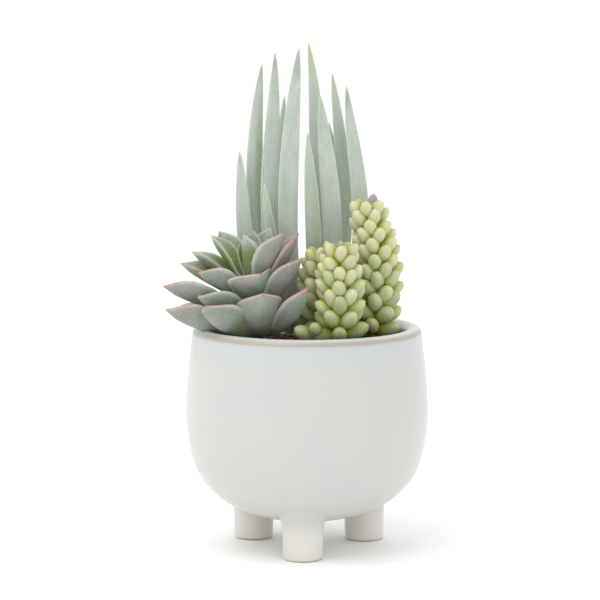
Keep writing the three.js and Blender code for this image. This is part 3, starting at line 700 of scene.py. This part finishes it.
def sword_leaf(row, number):
    """A sword leaf along the cubic through its four points. Its half width grows from
    SWORD_FOOT_WIDTH of the greatest with sin(pi t), is full at its middle, and from there is
    (1 - (2 t - 1) ** 2) ** SWORD_BLUNTNESS of it."""
    (foot_x, foot_y), low, mid, tip, width, facing, green_shade_left, green_shade_right, yellow = row
    draw = np.random.default_rng(SWORD_SEED + number)
    points = np.array([[foot_x, foot_y, SWORD_FOOT_LEVEL], low, mid, tip], float)
    t = 1 - (1 - np.linspace(*SWORD_SPAN, SWORD_ROWS)) ** SWORD_CROWDING
    middle = cubic_through(points, t)
    ahead, behind = cubic_through(points, np.minimum(t + 0.01, 1)), cubic_through(points, t - 0.01)
    tangent = unit(ahead - behind)
    across = np.broadcast_to(np.cross(UP, heading(facing, 0)), middle.shape)
    widening = SWORD_FOOT_WIDTH + (1 - SWORD_FOOT_WIDTH) * np.sin(np.pi * t)
    half = width / 2 * np.where(t < 0.5, widening, (1 - (2 * t - 1) ** 2) ** SWORD_BLUNTNESS)
    thick = np.maximum(SWORD_THICK * (1 - SWORD_THINNING * t), SWORD_THINNEST)
    thick *= np.minimum(10 * (1 - t) + 0.1, 1)
    rings, reach, height = blade_rings(middle, tangent, across, half, thick, SWORD_CUP * half,
                                       SWORD_KEEL, SWORD_SIDES)
    # The greener half of a blade is partly painted shade.
    shaded_half = 0.5 + 0.5 * np.tanh(6 * (reach - 0.1))
    green = green_shade_left + (green_shade_right - green_shade_left) * shaded_half
    return closed_skin(rings, points[0], points[-1], along=t[:, None],
                       across=half[:, None] * reach, margin=half[:, None] * (1 - np.abs(reach)),
                       green=green[None], tip=yellow, leaf=draw.uniform(0, 20))


def crown_skin():
    """The crown: an oval mound that narrows upwards to a low dome, where the leaves' feet meet."""
    turn = -2 * np.pi * np.arange(CROWN_SIDES) / CROWN_SIDES
    share = np.array(CROWN_SHARES)[:, None]
    height = np.broadcast_to(np.array(CROWN_HEIGHTS)[:, None], (len(CROWN_HEIGHTS), CROWN_SIDES))
    rings = np.stack([CROWN_CENTRE[0] + CROWN_RADII[0] * share * np.cos(turn),
                      CROWN_CENTRE[1] + CROWN_RADII[1] * share * np.sin(turn), height], -1)
    return closed_skin(rings, [*CROWN_CENTRE, CROWN_HEIGHTS[0]], [*CROWN_CENTRE, CROWN_PEAK],
                       along=0, across=0, margin=CROWN_MARGIN, green=1, tip=0, leaf=0)


sword = Finish("sword_skin", Subsurface_Weight=0.1, Subsurface_Scale=0.003,
               Subsurface_Radius=(0.7, 0.8, 0.4))
along, across, leaf = (sword.attribute(name) for name in ("along", "across", "leaf"))
lines_place = sword.node("ShaderNodeCombineXYZ", {}, {0: across * 1.7, 1: along * 3.0, 2: leaf})
lines = sword.noise(1, 5, 0.65, lines_place)
blotch_place = sword.node("ShaderNodeCombineXYZ", {}, {0: across * 0.35, 1: along * 9.0, 2: leaf})
blotches = sword.noise(1, 3, 0.6, blotch_place)
powder = sword.noise(1300, 4, 0.7)
mottle = sword.noise(130, 5, 0.65)
colour = sword.mix(sword.step(blotches, 0.38, 0.62), paint(*SWORD_COOL), paint(*SWORD_PALE))
# Green over the bloom: partly the leaves' own pale green, partly painted shade on the half of a
# blade turned from the lamp.
green = sword.attribute("green") * sword.step(along, 0.98, 0.7) * (0.55 + 0.6 * lines)
colour = sword.mix(green, colour, paint(*SWORD_GREEN_AND_SHADE))
colour = sword.mix(sword.step(mottle, 0.48, 0.64) * 0.45, colour, paint(*SWORD_MOTTLE))
tip = sword.attribute("tip")
colour = sword.mix(sword.step(along, 0.8, 1.0) * tip, colour, paint(*SWORD_TIP))
dry = sword.step(along + (mottle - 0.5) * 0.2, 0.8, 0.99) * (0.75 - tip)
colour = sword.mix(sword.step(dry, 0, 1) * 0.8, colour, paint(*SWORD_DRY))
colour = sword.mix(sword.step(lines, 0.52, 0.64) * 0.45, colour, paint(*SWORD_LINE))
colour = sword.mix(sword.step(along, 0.3, 0.02) * 0.6, colour, paint(*SWORD_FOOT))
edge = sword.step(sword.attribute("margin"), 0.5, 0.1)
colour = sword.mix(edge * 0.5, colour, paint(*SWORD_EDGE))
specked = sword.specks(700, 0.21) * (0.1 + 0.8 * blotches)
colour = sword.mix(specked, colour, paint(*SWORD_SPECK))
colour = sword.mix(sword.specks(1500, 0.3) * 0.35, colour, paint(*SWORD_GRAIN))
colour = sword.mix(sword.step(powder, 0.55, 0.8) * 0.35, colour, paint(*SWORD_POWDER))
sword.surface(Base_Color=colour, Roughness=0.5 + powder * 0.2,
              Normal=sword.relief(lines + powder * 0.3, 0.0004, 0.5))

blades = [sword_leaf(row, number) for number, row in enumerate(SWORD_LEAVES)]
swords = mesh_piece("sword_blades", [*blades, crown_skin()], sword)
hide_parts("sword_leaves")

# ---- The burro's tails ----
# Upright stems packed with plump, egg-shaped leaves in turned whorls of five. Each bead is
# translucent yellow-green at its foot under a pale frosted bloom, paler on top as painted highlight
# and darker green underneath as painted shade, and a few grey-mauve buds sit among the top ones.
BEADS_PER_WHORL = 5
BEAD_WIDEST = 0.55
BEAD_FULLNESS = 0.5
BEAD_ROWS = 9
BEAD_SIDES = 14
# How far the widest place's distance to the foot is drawn out, which leaves the foot blunt, and
# where the last row, the shoulder and the tip of the point lie along a bead.
BEAD_FOOT_DRAWN = 1.13
BEAD_LAST_ROW = 0.975
BEAD_SHOULDER = 0.995
BEAD_POINT = 1.035
# Beads spread out below one share of the stem and close up above the other.
BEAD_RISE = 38
BEAD_RISE_AT_FOOT = 20
BEAD_RISE_AT_TOP = 54
SPREAD_BELOW = 0.2
CLOSED_ABOVE = 0.8
WHORL_CROWDING = 0.2
# How far the shakes turn a bead and raise it in degrees, change its size and move its seat.
SHAKE_AZIMUTH, SHAKE_RISE, SHAKE_SIZE, SHAKE_SEAT = 5, 6, 0.06, 0.6
# The share of a bead that must stay out of its neighbours' rooms, which are circles from above.
ROOM_REACH = 0.75
TAIL_STEM_SHARES = (0.2, 0.4, 0.6, 0.8, 1)
TAIL_STEM_RADII = [2.2, 2.3, 2.8, 2.9, 2.8, 2.5, 1.6]
TAIL_STEM_SIDES = 16
FRONT_TAIL = {"foot": [14.5, -21, 98], "bend": [14.5, -21, 114], "top": [14.5, -20, 130],
              "whorls": 9, "turn": -90, "length": [13, 11.2], "width": [6.9, 5.5], "seed": 1,
              "neighbours": [[31.5, -1, 15]], "root": [14.5, -21, 80]}
SIDE_TAIL = {"foot": [8, -5.5, 98], "bend": [7, -5.5, 112], "top": [6.5, -6, 126], "whorls": 8,
             "turn": -126, "length": [14.5, 12], "width": [7.1, 5.9], "seed": 2,
             "neighbours": [[14.5, -21, 11], [31, 0, 16], [2.5, 7.5, 8], [11, 11.5, 8]],
             "root": [14.5, -21, 95]}
TALL_TAIL = {"foot": [30, -2, 98.5], "bend": [35, -1, 122], "top": [27, 1, 148], "whorls": 13,
             "turn": -98, "length": [13, 11], "width": [6.9, 5.7], "seed": 3, "neighbours": [],
             "root": [30, -2, 80]}
# Buds: base, azimuth and rise of the way they point, length, width and how mauve they are.
FRONT_BUDS = [[14.8, -19.5, 131, -30, 74, 8.5, 4.4, 0.55],
              [13.6, -18.5, 131.5, 160, 70, 9, 4.4, 0.7],
              [11.8, -17, 131.5, 150, 66, 10, 4.6, 0.5], [14.6, -17.5, 132, 80, 78, 9, 4.6, 0.8]]
TALL_BUDS = [[28.4, 2.4, 150.5, 20, 79, 10, 4.9, 1.0],
             [26.6, 0.6, 149.5, -130, 72, 7.5, 4.2, 0.5]]
# The low shoot: a few beads of the front tail that lie over the soil, given as the buds are, and
# the creeping stem that carries them.
LOW_SHOOT = [[3.2, -22, 98.4, 215, 24, 11.5, 6.6, 0], [5.4, -22.5, 99.4, 248, 36, 9.5, 5.8, 0],
             [3.6, -20.5, 98.6, 172, 28, 8, 5.4, 0]]
LOW_STEM = [[14.5, -21, 97.6], [9, -21.6, 97.4], [5.5, -21.8, 97.9], [3, -21.9, 98.8]]
LOW_STEM_RADII = [1.6, 1.6, 1.5, 1.2]
LOW_STEM_SIDES = 12
BEAD_GREEN = (168, 178, 66)
BEAD_PALE = (202, 205, 164)
BEAD_FOOT = (164, 154, 52)
BEAD_DEEP = (138, 156, 98)
BEAD_YELLOW = (204, 200, 116)
BEAD_UNDERSIDE_SHADE = (152, 166, 48)
TOP_BLUSH = (216, 202, 178)
BUD_MAUVE = (160, 152, 160)
STEM_ROSE = (206, 150, 112)
BEAD_FROST = (220, 223, 198)
BEAD_SPECK = (238, 240, 222)


def shake(seed, draw):
    """A number from -1 to 1: twice the fraction of 4375.85 sin(127.1 seed + 311.7 draw), less 1."""
    wave = np.sin(seed * 127.1 + draw * 311.7) * 4375.85
    return 2 * (wave - np.floor(wave)) - 1


def bead_skin(base, direction, length, width, **marks):
    """A bead: a body of revolution along its direction whose radius at share t goes with
    (1 - spread ** 2) ** BEAD_FULLNESS, where spread is 0 at the widest place and 1 at the tip, with
    a small point there."""
    side = unit(np.cross(UP, direction))
    up = np.cross(side, direction)
    rows = BEAD_LAST_ROW * (1 - np.cos(np.pi * np.linspace(0.1, 1, BEAD_ROWS))) / 2
    t = np.append(rows, BEAD_SHOULDER)
    reach = np.where(t > BEAD_WIDEST, 1 - BEAD_WIDEST, BEAD_FOOT_DRAWN * BEAD_WIDEST)
    spread = (t - BEAD_WIDEST) / reach
    radius = width / 2 * (1 - spread**2) ** BEAD_FULLNESS
    turn = 2 * np.pi * np.arange(BEAD_SIDES) / BEAD_SIDES
    ring = side * np.cos(turn)[:, None] + up * np.sin(turn)[:, None]
    rings = (base + direction * length * t[:, None])[:, None] + radius[:, None, None] * ring
    return closed_skin(rings, base, base + direction * length * BEAD_POINT, along=t[:, None],
                       above=np.sin(turn)[None], **marks)


def tail_axis(tail, share):
    """A point of the quadratic Bezier that the stem follows."""
    foot, bend, top = (np.array(tail[name], float) for name in ("foot", "bend", "top"))
    return foot * (1 - share) ** 2 + bend * 2 * share * (1 - share) + top * share**2


def tail_skins(tail):
    """The beads of a tail, in whorls that are each turned half a step from the last, and its
    stem."""
    skins = []
    for whorl in range(tail["whorls"]):
        order = whorl / (tail["whorls"] - 1)
        share = order * (1 + WHORL_CROWDING - WHORL_CROWDING * order)
        low = max(1 - share / SPREAD_BELOW, 0) * (BEAD_RISE - BEAD_RISE_AT_FOOT)
        closing = max((share - CLOSED_ABOVE) / (1 - CLOSED_ABOVE), 0)
        high = closing**1.3 * (BEAD_RISE_AT_TOP - BEAD_RISE)
        for turn in range(BEADS_PER_WHORL):
            number = whorl * BEADS_PER_WHORL + turn
            shakes = shake(tail["seed"], 5 * number + np.arange(5))
            step = 360 / BEADS_PER_WHORL * (turn + (whorl % 2) / 2)
            direction = heading(tail["turn"] + step + SHAKE_AZIMUTH * shakes[0],
                                BEAD_RISE + high - low + SHAKE_RISE * shakes[1])
            length = np.interp(share**2, [0, 1], tail["length"]) * (1 + SHAKE_SIZE * shakes[2])
            width = np.interp(share**2, [0, 1], tail["width"]) * (1 + SHAKE_SIZE * shakes[3])
            base = tail_axis(tail, share) + UP * SHAKE_SEAT * shakes[4] + direction
            end = base + direction * ROOM_REACH * length
            if all(np.hypot(end[0] - x, end[1] - y) > room for x, y, room in tail["neighbours"]):
                skins.append(bead_skin(base, direction, length, width, height=share, mauve=0,
                                       bead=(shakes[2] + 1) / 2))
    run = [tail["root"], tail["foot"], *(tail_axis(tail, share) for share in TAIL_STEM_SHARES)]
    skins.append(rod_skin(run, TAIL_STEM_RADII, TAIL_STEM_SIDES, along=0, above=0, height=0.5,
                          mauve=0, bead=0.5))
    return skins


def bud_skins(buds, height):
    """Single beads, each from its own row of numbers, all coloured as beads at this share."""
    return [bead_skin(np.array(base), heading(azimuth, rise), length, width, height=height,
                      mauve=mauve, bead=0.5) for *base, azimuth, rise, length, width, mauve in buds]


frosted = Finish("sedum_skin", Subsurface_Weight=0.4, Subsurface_Scale=0.005,
                 Subsurface_Radius=(0.7, 0.9, 0.2))
marks = (frosted.attribute(name) for name in ("along", "above", "height", "bead"))
along, above, height, bead = marks
powder = frosted.noise(1100, 4, 0.7)
patches = frosted.noise(220, 3, 0.6)
# The pale bloom towards each bead's tip, stronger on its upper side as painted highlight.
frost_and_highlight = frosted.step(along + above * 0.34 + (patches - 0.5) * 0.35, 0.35, 0.95)
# Painted shade: the undersides of the beads, back from their tips, are a darker green.
painted_underside_shade = frosted.step(above, 0.3, -0.8) * frosted.step(along, 0.95, 0.5)
colour = frosted.mix(frost_and_highlight, paint(*BEAD_GREEN), paint(*BEAD_PALE))
deep = frosted.step(height, 0.5, 0.0) * 0.45 + frosted.step(bead, 0.5, 0.9) * 0.35
colour = frosted.mix(deep, colour, paint(*BEAD_DEEP))
colour = frosted.mix(frosted.step(bead, 0.45, 0.1) * 0.2, colour, paint(*BEAD_YELLOW))
colour = frosted.mix(painted_underside_shade * 0.5, colour, paint(*BEAD_UNDERSIDE_SHADE))
colour = frosted.mix(frosted.step(along, 0.5, 0.08), colour, paint(*BEAD_FOOT))
rose = frosted.step(height, 0.75, 1) * frosted.step(along, 0.45, 0.1)
colour = frosted.mix(rose * 0.7, colour, paint(*STEM_ROSE))
colour = frosted.mix(frosted.step(height, 0.7, 1) * frost_and_highlight * 0.2, colour, paint(*TOP_BLUSH))
powdered = frosted.step(powder, 0.45, 0.8) * frost_and_highlight
colour = frosted.mix(powdered * 0.5, colour, paint(*BEAD_FROST))
colour = frosted.mix(frosted.specks(600, 0.13) * 0.5, colour, paint(*BEAD_SPECK))
mauve = frosted.attribute("mauve") * frosted.step(along, 0.1, 0.45)
colour = frosted.mix(mauve, colour, paint(*BUD_MAUVE))
frosted.surface(Base_Color=colour, Roughness=0.4 + powder * 0.25,
                Normal=frosted.relief(powder * 0.5 + patches, 0.0004, 0.4))

low_stem = rod_skin(LOW_STEM, LOW_STEM_RADII, LOW_STEM_SIDES, along=0, above=0, height=0, mauve=0,
                    bead=0.5)
front_skins = [*tail_skins(FRONT_TAIL), *tail_skins(SIDE_TAIL), *bud_skins(FRONT_BUDS, 1),
               *bud_skins(LOW_SHOOT, 0), low_stem]
front = mesh_piece("sedum_front_beads", front_skins, frosted)
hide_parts("sedum_front")
tall_skins = [*tail_skins(TALL_TAIL), *bud_skins(TALL_BUDS, 1)]
tall = mesh_piece("sedum_tall_beads", tall_skins, frosted)
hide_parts("sedum_tall")

# ---- The studio ----
# A white table that fades into white walls, one wide soft lamp above on the left and the camera
# slightly above the pot, looking down by less than seven degrees. The table and the lamp are in
# metres, and the camera's pitch is in radians.
CAMERA_PLACE = np.array([-3.18, -1085.7, 241.66])
CAMERA_PITCH = 0.1184
FOCAL_PIXELS = 2417.5
PHOTO_PIXELS = 600
SENSOR_WIDTH = 36
TABLE_REACH = 3.0
TABLE_SHADED, TABLE_WHITE = (254, 254, 254), (255, 255, 255)
LAMP_SIZE = 1.1
LAMP_POWER = 7
LAMP_PLACE = (-0.5, -0.45, 1.5)
LAMP_TILT, LAMP_TURN = 26, -48
WALLS_STRENGTH = 1.05

camera = bpy.data.cameras.new("camera")
camera.sensor_width = SENSOR_WIDTH
camera.lens = SENSOR_WIDTH * FOCAL_PIXELS / PHOTO_PIXELS
viewer = bpy.data.objects.new("camera", camera)
viewer.location = CAMERA_PLACE * MM + pot_axis
viewer.rotation_euler = (np.pi / 2 - CAMERA_PITCH, 0, 0)
bpy.context.scene.collection.objects.link(viewer)
bpy.context.scene.camera = viewer

table = Finish("table_white", Roughness=0.7)
table.surface(Base_Color=table.mix(table.noise(6, 2), paint(*TABLE_SHADED), paint(*TABLE_WHITE)))
corners = [(x * TABLE_REACH, y * TABLE_REACH, 0) for x, y in [(-1, -1), (1, -1), (1, 1), (-1, 1)]]
plane = bpy.data.meshes.new("table")
plane.from_pydata(corners, [], [(0, 1, 2, 3)])
plane.materials.append(table.material)
floor = bpy.data.objects.new("table", plane)
bpy.context.scene.collection.objects.link(floor)

lamp = bpy.data.lights.new("lamp", "AREA")
lamp.size = LAMP_SIZE
lamp.energy = LAMP_POWER
softbox = bpy.data.objects.new("lamp", lamp)
softbox.location = LAMP_PLACE
softbox.rotation_euler = (np.radians(LAMP_TILT), 0, np.radians(LAMP_TURN))
bpy.context.scene.collection.objects.link(softbox)

walls = bpy.data.worlds.new("walls")
walls.use_nodes = True
backdrop = walls.node_tree.nodes["Background"].inputs
backdrop["Color"].default_value = (1, 1, 1, 1)
backdrop["Strength"].default_value = WALLS_STRENGTH
bpy.context.scene.world = walls
bpy.context.scene.view_settings.view_transform = "Standard"
